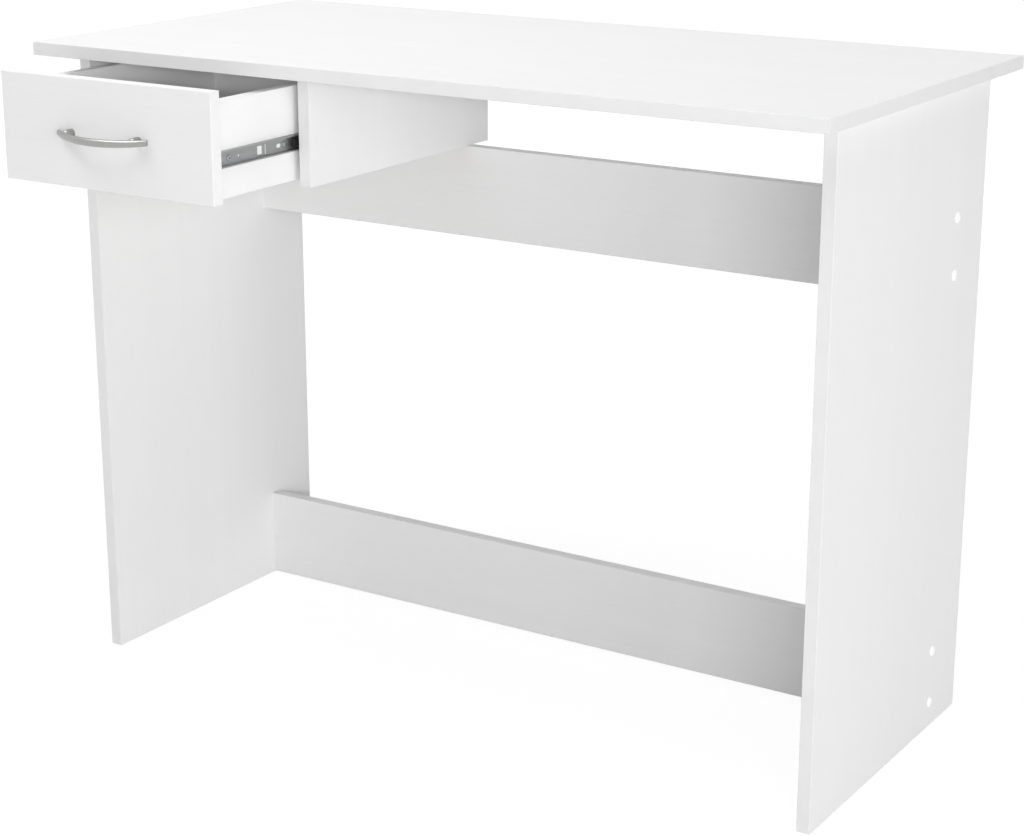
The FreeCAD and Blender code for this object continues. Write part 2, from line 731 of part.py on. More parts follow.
front_bolts = new_body("drawer_cam_bolts", ("bay_middle", "front_back", "0"))
front_bolt_spots = [(f"{sign} * side_middle", z) for sign in ("-1", "1") for z in small_cam_zs]
turned(front_bolts, "Y", front_bolt_spots, (
    ("cam_thread", "0 - cam_thread_long", "cam_thread_long"),
    ("cam_bolt", "0", "cam_bolt_reach"),
    ("cam_neck", "cam_bolt_reach", "cam / 2"),
    ("cam_bolt", "cam_setback - cam_head_long / 2", "cam_head_long"),
))
front_cam_locks = cam_locks(
    "drawer_cam_locks", ("bay_middle", "front_back + cam_setback", "0"),
    "box_inner", "small_cam_depth", [("0", z) for z in small_cam_zs],
    "Y", "0 - cam / 2", [("side_middle", z) for z in small_cam_zs], True)
mirror(*front_cam_locks)
turned(new_body("drawer_dowels", ("bay_middle", "front_back", "small_dowel_z")), "Y",
       [(f"{sign} * side_middle", "0") for sign in ("-1", "1")],
       (("small_dowel", "0 - small_dowel_in_front", "small_dowel_long"),))

back_screws = new_body("drawer_back_screws", ("bay_middle", "back_middle", "0"))
mirror(back_screws, turned(back_screws, "X", [("0", z) for z in back_screw_zs], (
    ("back_screw", "box_outer - back_screw_long", "back_screw_long - back_screw_head_tall"),
    ("back_screw_head", "box_outer - back_screw_head_tall", "back_screw_head_tall"),
)))
turned(new_body("drawer_bottom_pins", ("0", "back_middle", "box_bottom + groove_lift")), "Z",
       [(x, "0") for x in pin_xs],
       (("pin", "0", "pin_long"), ("pin_head", "0 - pin_head_tall", "pin_head_tall")))


# Bow pull: an oval bar along an arc that leans down, thinner towards its tips, on two domed posts

pull = new_body("pull_handle", ("bay_middle", "front_face", "pull_middle"))
half_length = sizes["pull_length"] / 2
lean = math.hypot(sizes["pull_rise"], sizes["pull_droop"]) / sizes["pull_rise"]
crown_y = -sizes["pull_rise"] * lean
tip_y = -sizes["pull_tip_rise"] * lean
sag = tip_y - crown_y
bow_radius = (half_length ** 2 + sag ** 2) / (2 * sag)
post_sag = bow_radius - math.sqrt(bow_radius ** 2 - sizes["pull_pitch"] ** 2 / 4)
post_y = post_sag / lean - sizes["pull_rise"]

pull_ends = [("0 - pull_pitch / 2", "0"), ("pull_pitch / 2", "0")]
turned(pull, "Y", pull_ends, (("pull_post", "0 - pull_post_long", "pull_post_long"),))
doc.recompute()
round_edges(pull, lambda point: abs(point.y - post_y) < nearly, "pull_post_round")

bow = new_sketch(pull, "Z", "0")
bow.AttachmentOffset.Rotation = FreeCAD.Rotation(FreeCAD.Vector(1, 0, 0), math.degrees(math.acos(1 / lean)))
bind(bow, "AttachmentOffset.Rotation.Angle", "pull_tilt")
# the arc is drawn at its size, so that the solver keeps its short way round
bow_angle = math.asin(half_length / bow_radius)
bow_centre = FreeCAD.Vector(0, crown_y + bow_radius, 0)
bow_circle = Part.Circle(bow_centre, FreeCAD.Vector(0, 0, 1), bow_radius)
lowest = 1.5 * math.pi
bow_line = bow.addGeometry(Part.ArcOfCircle(bow_circle, lowest - bow_angle, lowest + bow_angle), False)
locate(bow, bow_line, 1, "0 - pull_length / 2", "0 - pull_tip_rise * pull_lean", (-half_length, tip_y))
locate(bow, bow_line, 2, "pull_length / 2", "0 - pull_tip_rise * pull_lean", (half_length, tip_y))
datum(bow, "Radius", (bow_line,), "pull_radius", bow_radius)
doc.recompute()


def bar_section(along, wide, tall):
    sketch = pull.newObject("Sketcher::SketchObject", "pull_section")
    sketch.AttachmentSupport = [(bow, "Edge1")]
    sketch.MapMode = "NormalToEdge"
    sketch.MapPathParameter = along
    draw_ellipse(sketch, "0", "0", wide, tall)
    return sketch


left_tip = bar_section(0, "pull_tip_thick", "pull_tip_tall")
crown = bar_section(0.5, "pull_thick", "pull_tall")
right_tip = bar_section(1, "pull_tip_thick", "pull_tip_tall")
doc.recompute()
bar = pull.newObject("PartDesign::AdditivePipe", "pull_bar")
bar.Profile = left_tip
bar.Spine = (bow, ["Edge1"])
bar.Transformation = "Multisection"
bar.Sections = [crown, right_tip]
doc.recompute()
round_edges(pull, lambda point: abs(abs(point.x) - half_length) < nearly, "pull_tip_round")
pull_holes = new_sketch(pull, "Y", "0")
draw_circles(pull_holes, pull_ends, "pull_screw + hole_play")
cut(pull, "Y", pull_holes, "pull_screw_bite + hole_spare", False)

turned(new_body("pull_screws", ("bay_middle", "front_back", "pull_middle")), "Y", pull_ends, (
    ("pull_screw", "0 - board - pull_screw_bite", "board + pull_screw_bite"),
    ("pull_head", "0", "pull_head_tall"),
))


# Ball-bearing slides, one each side of the drawer

def channel(body, sign, web, sheet_end, tip, half, length):
    # rolled channel: web at one side, two lips towards the tip
    inner = f"{half} - slide_flange"
    outline = ((web, half), (tip, half), (tip, inner), (sheet_end, inner))
    points = [(f"{sign} * ({u})", f"0 - ({w})") for u, w in outline]
    points += [(f"{sign} * ({u})", w) for u, w in reversed(outline)]
    sketch = new_sketch(body, "Y", "0")
    draw_outline(sketch, points)
    pad(body, "Y", sketch, length)
    races = new_sketch(body, "Y", "0")
    draw_circles(races, [(f"{sign} * ball_u", w) for w in ("ball_w", "0 - ball_w")], "ball_race")
    cut(body, "Y", races, length, True)


def punch(body, sign, start, upwards, draw, *shape):
    sketch = new_sketch(body, "X", f"{sign} * ({start})")
    draw(sketch, *shape)
    return cut(body, "X", sketch, "slide_sheet", upwards)


def draw_slot(sketch, place, long, tall):
    # two half-round ends joined by straight sides
    ends = []
    for side, first in ((-2.0, math.pi / 2), (2.0, -math.pi / 2)):
        circle = Part.Circle(FreeCAD.Vector(side, 0, 0), FreeCAD.Vector(0, 0, 1), 1)
        ends.append(sketch.addGeometry(Part.ArcOfCircle(circle, first, first + math.pi), False))
    for v, left_point, right_point in ((1, 1, 2), (-1, 2, 1)):
        run = Part.LineSegment(FreeCAD.Vector(-2, v, 0), FreeCAD.Vector(2, v, 0))
        line = sketch.addGeometry(run, False)
        sketch.addConstraint(Sketcher.Constraint("Tangent", ends[0], left_point, line, 1))
        sketch.addConstraint(Sketcher.Constraint("Tangent", line, 2, ends[1], right_point))
    for end, side in zip(ends, ("-1", "1")):
        datum(sketch, "Diameter", (end,), tall, 2.0)
        locate(sketch, end, 3, f"{place} + {side} * ({long} - {tall}) / 2", "0", (2.0 * int(side), 0.0))


def cabinet_rail(side, sign, wall):
    body = new_body(f"{side}_cabinet_rail", (wall, "cabinet_rail_front", "slide_middle"))
    channel(body, sign, "0", "slide_sheet", "slide_thick - slide_lip_gap", "slide_height / 2",
            "slide_length")
    screws = [(place, "0") for place in cabinet_screws_along]
    punch(body, sign, "0", sign == 1, draw_circles, screws, "slide_screw_hole")


def drawer_rail(side, sign, wall):
    body = new_body(f"{side}_drawer_rail", (wall, "drawer_rail_front", "slide_middle"))
    channel(body, sign, "slide_thick", "slide_thick - slide_sheet", "member_tip", "member_height / 2",
            "drawer_rail_length")
    inward = sign == -1
    screws = [(place, "0") for place in drawer_screws_along]
    punch(body, sign, "slide_thick", inward, draw_circles, screws, "slide_screw_hole")
    punch(body, sign, "slide_thick", inward, draw_circles, [("pip_place", "0")], "pip_hole")
    punch(body, sign, "slide_thick", inward, draw_circles, [("lever_place", "0")], "rivet + hole_play")
    for name in ("window", "slot"):
        punch(body, sign, "slide_thick", inward, draw_box, f"{name}_place - {name}_long / 2",
              f"0 - {name}_tall / 2", f"{name}_long", f"{name}_tall")
    punch(body, sign, "slide_thick", inward, draw_slot, "oval_place", "oval_long", "oval_tall")


def ball_cage(side, sign, wall):
    body = new_body(f"{side}_ball_cage", (wall, "cage_front", "slide_middle"))
    inner = "cage_half - cage_sheet"
    outline = (("cage_u", "cage_half"), ("cage_tip", "cage_half"), ("cage_tip", inner),
               ("cage_u + cage_sheet", inner))
    points = [(f"{sign} * ({u})", f"0 - ({w})") for u, w in outline]
    points += [(f"{sign} * ({u})", w) for u, w in reversed(outline)]
    sketch = new_sketch(body, "Y", "0")
    draw_outline(sketch, points)
    pad(body, "Y", sketch, "cage_length")
    ball_ys = [f"cage_end + {k} * ball_pitch" for k in range(sizes["ball_count"])]
    holes = new_sketch(body, "Z", "cage_half")
    draw_circles(holes, [(f"{sign} * ball_u", y) for y in ball_ys], "cage_hole")
    cut(body, "Z", holes, "2 * cage_half", False)
    balls = []
    for y in ball_ys:
        for w in ("ball_w", "0 - ball_w"):
            sphere = doc.addObject("Part::Sphere", f"{side}_ball")
            bind(sphere, "Radius", "ball / 2")
            bind(sphere, "Placement.Base.x", f"{wall} + {sign} * ball_u")
            bind(sphere, "Placement.Base.y", f"cage_front + {y}")
            bind(sphere, "Placement.Base.z", f"slide_middle + {w}")
            balls.append(sphere)
    group(f"{side}_slide_balls", *balls)


def release_lever(side, sign, wall):
    body = new_body(f"{side}_release_lever", (wall, "drawer_rail_front + lever_place", "slide_middle"))
    start = "lever_inner" if sign == 1 else "0 - lever_outer"
    thick = "lever_outer - lever_inner"
    hub = new_sketch(body, "X", start)
    draw_circles(hub, [("0", "0")], "lever_hub")
    pad(body, "X", hub, thick)
    arm = new_sketch(body, "X", start)
    pad_start = "lever_pad_long - lever_reach"
    upper = (("0", "lever_arm_tall / 2"), (pad_start, "lever_arm_tall / 2"),
             (pad_start, "lever_pad_tall / 2"), ("0 - lever_reach", "lever_pad_tall / 2"))
    draw_outline(arm, list(upper) + [(y, f"0 - {w}") for y, w in reversed(upper)])
    pad(body, "X", arm, thick)
    pivot = new_sketch(body, "X", start)
    draw_circles(pivot, [("0", "0")], "rivet + 2 * hole_play")
    cut(body, "X", pivot, thick, True)


for side, sign, wall in (("left", 1, "bay_left"), ("right", -1, "bay_right")):
    cabinet_rail(side, sign, wall)
    drawer_rail(side, sign, wall)
    ball_cage(side, sign, wall)
    release_lever(side, sign, wall)

# Slide fastenings and stops, made on the right and mirrored to the left

half_bay = "bay_width / 2"
cabinet_screws = new_body("cabinet_rail_screws", ("bay_middle", "cabinet_rail_front", "slide_middle"))
mirror(cabinet_screws, turned(
    cabinet_screws, "X", [(place, "0") for place in cabinet_screws_along], (
        ("slide_screw", f"{half_bay} - slide_sheet", "slide_sheet + slide_screw_bite"),
        ("slide_head", f"{half_bay} - slide_sheet - slide_head_tall", "slide_head_tall"),
    )))
drawer_screws = new_body("drawer_rail_screws", ("bay_middle", "drawer_rail_front", "slide_middle"))
mirror(drawer_screws, turned(
    drawer_screws, "X", [(place, "0") for place in drawer_screws_along], (
        ("slide_screw", "box_outer - slide_screw_bite", "slide_screw_bite + slide_sheet"),
        ("slide_head", "box_outer + slide_sheet", "slide_head_tall"),
    )))
rivets = new_body("lever_rivets", ("bay_middle", "drawer_rail_front + lever_place", "slide_middle"))
mirror(rivets, turned(rivets, "X", [("0", "0")], (
    ("rivet", "box_outer", "slide_thick - rivet_tip"),
    ("rivet_head", f"{half_bay} - rivet_tip - rivet_head_tall", "rivet_head_tall"),
)))
bumpers = new_body("rear_bumpers", ("bay_middle", "cabinet_rail_front + slide_length - bumper_length",
                                    "slide_middle"))
bumper_plan = new_sketch(bumpers, "Y", "0")
bumper_thick = "slide_thick - slide_sheet - slide_lip_gap"
draw_box(bumper_plan, f"{half_bay} - slide_sheet - ({bumper_thick})", "0 - bumper_tall / 2",
         bumper_thick, "bumper_tall")
mirror(bumpers, [pad(bumpers, "Y", bumper_plan, "bumper_length")])


# Check every object, then write one file for each sub-part

doc.recompute()
for thing in doc.Objects:
    if "Invalid" in thing.State or "Error" in thing.State:
        raise ValueError(thing.Label + " failed: " + ", ".join(thing.State))
for node in nodes:
    if node.Shape.isNull() or not node.Shape.isValid():
        raise ValueError(node.Label + " has no valid shape")
os.makedirs("parts", exist_ok=True)
for node in nodes:
    node.Shape.exportStep("parts/" + node.Label + ".step")
    print(node.Label, len(node.Shape.Solids), round(node.Shape.Volume, 1))
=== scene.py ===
# Writing desk in white melamine board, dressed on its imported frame
import bpy
import bmesh
from mathutils import Matrix, Vector


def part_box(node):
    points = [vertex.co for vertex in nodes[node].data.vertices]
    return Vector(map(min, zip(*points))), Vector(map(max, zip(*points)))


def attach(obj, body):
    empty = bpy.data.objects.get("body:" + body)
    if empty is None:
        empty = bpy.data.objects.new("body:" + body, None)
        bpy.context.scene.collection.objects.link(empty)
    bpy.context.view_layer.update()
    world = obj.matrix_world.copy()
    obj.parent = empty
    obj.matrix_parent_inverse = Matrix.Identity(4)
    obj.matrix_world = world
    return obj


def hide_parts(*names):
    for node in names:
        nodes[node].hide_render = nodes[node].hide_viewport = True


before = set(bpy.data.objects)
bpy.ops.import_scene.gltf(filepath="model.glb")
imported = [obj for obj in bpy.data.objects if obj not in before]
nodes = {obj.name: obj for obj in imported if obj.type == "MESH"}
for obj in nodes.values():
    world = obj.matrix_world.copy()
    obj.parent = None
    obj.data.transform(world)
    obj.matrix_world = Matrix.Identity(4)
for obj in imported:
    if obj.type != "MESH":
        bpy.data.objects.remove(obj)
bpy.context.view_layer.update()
bayMiddle = sum(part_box("drawer_front"), Vector()) / 2
print("frame loaded,", len(nodes), "nodes")


# small helpers for node trees

def addNode(tree, kind, **settings):
    node = tree.nodes.new(kind)
    for name, value in settings.items():
        setattr(node, name, value)
    return node


def feed(tree, source, target):
    if isinstance(source, bpy.types.NodeSocket):
        tree.links.new(source, target)
    else:
        target.default_value = source


def maths(tree, operation, first, second=0.0):
    node = addNode(tree, "ShaderNodeMath", operation=operation)
    feed(tree, first, node.inputs[0])
    feed(tree, second, node.inputs[1])
    return node.outputs[0]


def scaled(tree, place, scale):
    node = addNode(tree, "ShaderNodeMapping", vector_type="POINT")
    feed(tree, place, node.inputs["Vector"])
    node.inputs["Scale"].default_value = scale
    return node.outputs[0]


def noise(tree, place, scale, detail=2.0, distortion=0.0):
    node = addNode(tree, "ShaderNodeTexNoise", noise_dimensions="3D")
    feed(tree, place, node.inputs["Vector"])
    feed(tree, scale, node.inputs["Scale"])
    node.inputs["Detail"].default_value = detail
    node.inputs["Distortion"].default_value = distortion
    return node.outputs[0]


def between(tree, value, low, high, newLow=0.0, newHigh=1.0):
    node = addNode(tree, "ShaderNodeMapRange", clamp=True)
    feed(tree, value, node.inputs["Value"])
    for name, number in (("From Min", low), ("From Max", high), ("To Min", newLow), ("To Max", newHigh)):
        node.inputs[name].default_value = number
    return node.outputs[0]


def mixColour(tree, share, first, second):
    node = addNode(tree, "ShaderNodeMix", data_type="RGBA")
    feed(tree, share, node.inputs[0])
    feed(tree, first, node.inputs[6])       # the node's sockets for colours
    feed(tree, second, node.inputs[7])
    return node.outputs[2]


def mixValue(tree, share, first, second):
    node = addNode(tree, "ShaderNodeMix", data_type="FLOAT")
    feed(tree, share, node.inputs[0])
    feed(tree, first, node.inputs[2])       # the node's sockets for numbers
    feed(tree, second, node.inputs[3])
    return node.outputs[0]


def bump(tree, shader, height, distance, strength=1.0):
    node = addNode(tree, "ShaderNodeBump")
    node.inputs["Strength"].default_value = strength
    node.inputs["Distance"].default_value = distance
    feed(tree, height, node.inputs["Height"])
    tree.links.new(node.outputs[0], shader.inputs["Normal"])


def grey(value):
    return (value, value, value, 1.0)


quarterTurn = 1.5708    # radians
fullTurn = 6.2832


# effects that several finishes share

def startEffect(name, inputs, outputs):
    tree = bpy.data.node_groups.new(name, "ShaderNodeTree")
    for label, kind, value in inputs:
        socket = tree.interface.new_socket(label, in_out="INPUT", socket_type=kind)
        if value is not None:
            socket.default_value = value
    for label, kind in outputs:
        tree.interface.new_socket(label, in_out="OUTPUT", socket_type=kind)
    return tree, addNode(tree, "NodeGroupInput"), addNode(tree, "NodeGroupOutput")


poreLook = {
    "poreDetail": 2.0,
    "poreRange": (0.54, 0.68),      # noise levels where a pore starts and is full
    "figureDetail": 4.0,
    "figureBend": 0.6,
    "figureRange": (0.34, 0.66),
}


def makePoreEffect():
    tree, given, result = startEffect(
        "woodPores",
        [("Vector", "NodeSocketVector", None), ("Pore Scale", "NodeSocketFloat", 640.0),
         ("Figure Scale", "NodeSocketFloat", 30.0)],
        [("Pores", "NodeSocketFloat"), ("Figure", "NodeSocketFloat")])
    dashes = noise(tree, given.outputs["Vector"], given.outputs["Pore Scale"], poreLook["poreDetail"])
    bands = noise(tree, given.outputs["Vector"], given.outputs["Figure Scale"], poreLook["figureDetail"],
                  poreLook["figureBend"])
    feed(tree, between(tree, dashes, *poreLook["poreRange"]), result.inputs["Pores"])
    feed(tree, between(tree, bands, *poreLook["figureRange"]), result.inputs["Figure"])
    return tree


chipLook = {
    "dark": (0.30, 0.19, 0.10, 1),
    "pale": (0.66, 0.50, 0.33, 1),
    "bark": (0.16, 0.09, 0.05, 1),
    "barkRange": (0.8, 1.0),        # only a few chips are bark
}


def makeChipEffect():
    tree, given, result = startEffect(
        "chipCore",
        [("Vector", "NodeSocketVector", None), ("Chip Scale", "NodeSocketFloat", 420.0)],
        [("Color", "NodeSocketColor"), ("Height", "NodeSocketFloat")])
    cells = addNode(tree, "ShaderNodeTexVoronoi", feature="F1")
    feed(tree, given.outputs["Vector"], cells.inputs["Vector"])
    feed(tree, given.outputs["Chip Scale"], cells.inputs["Scale"])
    tone = addNode(tree, "ShaderNodeSeparateColor")
    feed(tree, cells.outputs["Color"], tone.inputs[0])
    tan = mixColour(tree, tone.outputs[0], chipLook["dark"], chipLook["pale"])
    bark = between(tree, tone.outputs[1], *chipLook["barkRange"])
    feed(tree, mixColour(tree, bark, tan, chipLook["bark"]), result.inputs["Color"])
    feed(tree, cells.outputs["Distance"], result.inputs["Height"])
    return tree


streakLook = {"fineDetail": 3.0, "broadShare": 0.12, "range": (0.3, 0.7)}


def makeStreakEffect():
    tree, given, result = startEffect(
        "metalStreaks",
        [("Vector", "NodeSocketVector", None), ("Streak Scale", "NodeSocketFloat", 900.0)],
        [("Streaks", "NodeSocketFloat"), ("Cloud", "NodeSocketFloat")])
    fine = noise(tree, given.outputs["Vector"], given.outputs["Streak Scale"], streakLook["fineDetail"])
    broadScale = maths(tree, "MULTIPLY", given.outputs["Streak Scale"], streakLook["broadShare"])
    broad = noise(tree, given.outputs["Vector"], broadScale)
    feed(tree, between(tree, fine, *streakLook["range"]), result.inputs["Streaks"])
    feed(tree, between(tree, broad, *streakLook["range"]), result.inputs["Cloud"])
    return tree


markLook = {"detail": 5.0, "bend": 0.3, "range": (0.42, 0.72)}


def makeMarkEffect():
    tree, given, result = startEffect(
        "handMarks",
        [("Vector", "NodeSocketVector", None), ("Mark Scale", "NodeSocketFloat", 9.0)],
        [("Marks", "NodeSocketFloat")])
    patches = noise(tree, given.outputs["Vector"], given.outputs["Mark Scale"], markLook["detail"],
                    markLook["bend"])
    feed(tree, between(tree, patches, *markLook["range"]), result.inputs["Marks"])
    return tree


effects = {
    "pores": makePoreEffect(),
    "chips": makeChipEffect(),
    "streaks": makeStreakEffect(),
    "marks": makeMarkEffect(),
}
print("shared effects made")


def placeEffect(tree, name, place, **values):
    node = addNode(tree, "ShaderNodeGroup", node_tree=effects[name])
    feed(tree, place, node.inputs["Vector"])
    for label, value in values.items():
        node.inputs[label].default_value = value
    return node


def startMaterial(name, **constants):
    material = bpy.data.materials.new(name)
    material.use_nodes = True
    tree = material.node_tree
    tree.nodes.clear()
    shader = addNode(tree, "ShaderNodeBsdfPrincipled")
    output = addNode(tree, "ShaderNodeOutputMaterial")
    tree.links.new(shader.outputs[0], output.inputs["Surface"])
    for label, value in constants.items():
        shader.inputs[label].default_value = value
    spot = addNode(tree, "ShaderNodeTexCoord")
    return material, tree, shader, spot


# white boards: printed pores on the two faces, bare chips on cut edges and in holes

boardLook = {
    "tones": {              # white, printed figure and pores
        "carcase": (grey(0.86), grey(0.85), grey(0.825)),
        # painted light: the drawer box's white is a lighter copy of the carcase white, lifting its inside
        # where the desktop shades it
        "drawerBoxPaintedLight": (grey(0.92), grey(0.912), grey(0.89)),
    },
    "poreShare": 0.4,
    "stretch": 0.04,        # pores repeat this much less often along the grain than across it
    "poreDepth": 0.00003,
    "poreStrength": 0.6,
    "faceLimit": 0.9,       # a normal this near the face axis belongs to a face
    "roughness": (0.55, 0.62),
    "gloss": 0.12,          # pearl-finished melamine throws back little light
    "coreRoughness": 0.9,
}
axisIndex = {"X": 0, "Y": 1, "Z": 2}


def alongAxis(axis, stretch):
    scale = [1.0, 1.0, 1.0]
    scale[axisIndex[axis]] = stretch
    return scale


def makeBoard(name, faceAxis, grainAxis, tone="carcase"):
    white, figure, pore = boardLook["tones"][tone]
    material, tree, shader, spot = startMaterial(name, **{"Specular IOR Level": boardLook["gloss"]})
    place = spot.outputs["Object"]
    pores = placeEffect(tree, "pores", scaled(tree, place, alongAxis(grainAxis, boardLook["stretch"])))
    chips = placeEffect(tree, "chips", place)
    marks = placeEffect(tree, "marks", place)
    parts = addNode(tree, "ShaderNodeSeparateXYZ")
    feed(tree, spot.outputs["Normal"], parts.inputs[0])
    facing = maths(tree, "ABSOLUTE", parts.outputs[axisIndex[faceAxis]])
    onFace = maths(tree, "GREATER_THAN", facing, boardLook["faceLimit"])
    printed = mixColour(tree, pores.outputs["Figure"], white, figure)
    poreMask = maths(tree, "MULTIPLY", pores.outputs["Pores"], boardLook["poreShare"])
    printed = mixColour(tree, poreMask, printed, pore)
    feed(tree, mixColour(tree, onFace, chips.outputs["Color"], printed), shader.inputs["Base Color"])
    sheen = mixValue(tree, marks.outputs["Marks"], *boardLook["roughness"])
    feed(tree, mixValue(tree, onFace, boardLook["coreRoughness"], sheen), shader.inputs["Roughness"])
    dents = maths(tree, "MULTIPLY", pores.outputs["Pores"], -1.0)
    relief = mixValue(tree, onFace, chips.outputs["Height"], dents)
    bump(tree, shader, relief, boardLook["poreDepth"], boardLook["poreStrength"])
    return material


boards = {
    "desktop": makeBoard("topBoard", "Z", "X"),
    "panel": makeBoard("panelBoard", "X", "Z"),
    "rail": makeBoard("railBoard", "Y", "X"),
    # the drawer's boards take that lighter white, painted light for their shaded inside
    "drawerSide": makeBoard("drawerSideBoard", "X", "Y", "drawerBoxPaintedLight"),
    "drawerBack": makeBoard("drawerBackBoard", "Y", "X", "drawerBoxPaintedLight"),
}


# edge band: smooth plastic with a faint ripple from the roller

bandLook = {
    "tones": {              # white, and its shade where hands have been
        # the carcase bands' greyer white is partly the band's own tone and partly painted shade for front
        # edges under the desktop and beside the drawer
        "carcase": (grey(0.80), grey(0.785)),
        # painted light: the drawer's bands are a lighter white, lifting the shaded top edges of its box
        "drawer": (grey(0.90), grey(0.885)),
    },
    "roughness": (0.50, 0.58),
    "gloss": 0.2,
    "markScale": 30.0,
    "rippleScale": 260.0,
    "rippleDetail": 1.0,
    "rippleDepth": 0.00003,
    "rippleStrength": 0.5,
}


def makeBand(name, tone):
    white, shade = bandLook["tones"][tone]
    material, tree, shader, spot = startMaterial(name, **{"Specular IOR Level": bandLook["gloss"]})
    place = spot.outputs["Object"]
    marks = placeEffect(tree, "marks", place, **{"Mark Scale": bandLook["markScale"]})
    ripple = noise(tree, place, bandLook["rippleScale"], bandLook["rippleDetail"])
    feed(tree, mixColour(tree, marks.outputs["Marks"], white, shade), shader.inputs["Base Color"])
    feed(tree, mixValue(tree, marks.outputs["Marks"], *bandLook["roughness"]), shader.inputs["Roughness"])
    bump(tree, shader, ripple, bandLook["rippleDepth"], bandLook["rippleStrength"])
    return material


# drawer bottom: white lacquer above, a thin wash of white over the screen print below

hardboardLook = {
    "lacquer": grey(0.92),
    "lacquerShade": grey(0.905),
    "fibre": (0.70, 0.69, 0.675, 1),
    "fibreLight": (0.78, 0.775, 0.765, 1),
    "lacquerRoughness": (0.38, 0.5),
    "washRoughness": 0.85,
    "markScale": 14.0,
    "fibreScale": 900.0,
    "fibreDetail": 3.0,
    "fibreRelief": 0.2,     # the lacquer's share of the screen's depth
    "screenPitch": 0.0016,
    "screenDepth": 0.00012,
    "screenStrength": 0.7,
    "faceLimit": 0.5,
}


def makeHardboard():
    material, tree, shader, spot = startMaterial("hardboard")
    place = spot.outputs["Object"]
    parts = addNode(tree, "ShaderNodeSeparateXYZ")
    feed(tree, spot.outputs["Normal"], parts.inputs[0])
    upper = maths(tree, "GREATER_THAN", parts.outputs[2], hardboardLook["faceLimit"])
    marks = placeEffect(tree, "marks", place, **{"Mark Scale": hardboardLook["markScale"]})
    fibres = noise(tree, place, hardboardLook["fibreScale"], hardboardLook["fibreDetail"])
    grid = addNode(tree, "ShaderNodeSeparateXYZ")
    feed(tree, scaled(tree, place, [fullTurn / hardboardLook["screenPitch"]] * 3), grid.inputs[0])
    screen = maths(tree, "MULTIPLY", *[maths(tree, "SINE", grid.outputs[k]) for k in (0, 1)])
    top = mixColour(tree, marks.outputs["Marks"], hardboardLook["lacquer"], hardboardLook["lacquerShade"])
    below = mixColour(tree, fibres, hardboardLook["fibre"], hardboardLook["fibreLight"])
    feed(tree, mixColour(tree, upper, below, top), shader.inputs["Base Color"])
    sheen = mixValue(tree, marks.outputs["Marks"], *hardboardLook["lacquerRoughness"])
    feed(tree, mixValue(tree, upper, hardboardLook["washRoughness"], sheen), shader.inputs["Roughness"])
    relief = mixValue(tree, upper, screen, maths(tree, "MULTIPLY", fibres, hardboardLook["fibreRelief"]))
    bump(tree, shader, relief, hardboardLook["screenDepth"], hardboardLook["screenStrength"])
    return material


# beech pegs: straight grain and short flecks

beechLook = {
    "light": (0.62, 0.43, 0.26, 1),
    "dark": (0.45, 0.28, 0.15, 1),
    "fleck": (0.36, 0.21, 0.11, 1),
    "fleckShare": 0.6,
    "stretch": 0.1,
    "poreScale": 1500.0,
    "figureScale": 420.0,
    "roughness": (0.62, 0.74),
    "poreDepth": 0.0001,
    "poreStrength": 0.5,
}


def makeBeech(name, grainAxis):
    material, tree, shader, spot = startMaterial(name)
    place = spot.outputs["Object"]
    drawn = scaled(tree, place, alongAxis(grainAxis, beechLook["stretch"]))
    scales = {"Pore Scale": beechLook["poreScale"], "Figure Scale": beechLook["figureScale"]}
    pores = placeEffect(tree, "pores", drawn, **scales)
    wood = mixColour(tree, pores.outputs["Figure"], beechLook["light"], beechLook["dark"])
    flecks = maths(tree, "MULTIPLY", pores.outputs["Pores"], beechLook["fleckShare"])
    feed(tree, mixColour(tree, flecks, wood, beechLook["fleck"]), shader.inputs["Base Color"])
    sheen = mixValue(tree, pores.outputs["Figure"], *beechLook["roughness"])
    feed(tree, sheen, shader.inputs["Roughness"])
    bump(tree, shader, pores.outputs["Pores"], beechLook["poreDepth"], beechLook["poreStrength"])
    return material


# bare and plated metals

metalLooks = {
    "zincSheet": {
        "light": (0.50, 0.505, 0.51, 1), "dark": (0.41, 0.415, 0.42, 1), "roughness": (0.30, 0.42),
        "axis": "Y", "stretch": 0.03, "scale": 1400.0, "depth": 0.00001,
    },
    "zincScrew": {
        "light": (0.58, 0.585, 0.59, 1), "dark": (0.44, 0.445, 0.45, 1), "roughness": (0.24, 0.36),
        "axis": "X", "stretch": 0.5, "scale": 1800.0, "depth": 0.00001,
    },
    "cageSheet": {
        "light": (0.46, 0.46, 0.465, 1), "dark": (0.36, 0.36, 0.365, 1), "roughness": (0.34, 0.48),
        "axis": "Y", "stretch": 0.06, "scale": 1200.0, "depth": 0.00001,
    },
    "ballSteel": {
        "light": (0.72, 0.72, 0.73, 1), "dark": (0.66, 0.66, 0.67, 1), "roughness": (0.08, 0.14),
        "axis": "Y", "stretch": 1.0, "scale": 1500.0, "depth": 0.000002,
    },
    "castZinc": {
        "light": (0.50, 0.50, 0.51, 1), "dark": (0.38, 0.38, 0.39, 1), "roughness": (0.42, 0.6),
        "axis": "X", "stretch": 1.0, "scale": 1600.0, "depth": 0.00004,
    },
    "satinNickel": {
        "light": (0.42, 0.418, 0.414, 1), "dark": (0.36, 0.358, 0.354, 1), "roughness": (0.25, 0.33),
        "axis": "X", "stretch": 0.02, "scale": 2200.0, "depth": 0.000006,
    },
}
metalCloudShare = 0.35
metalStrength = 0.5


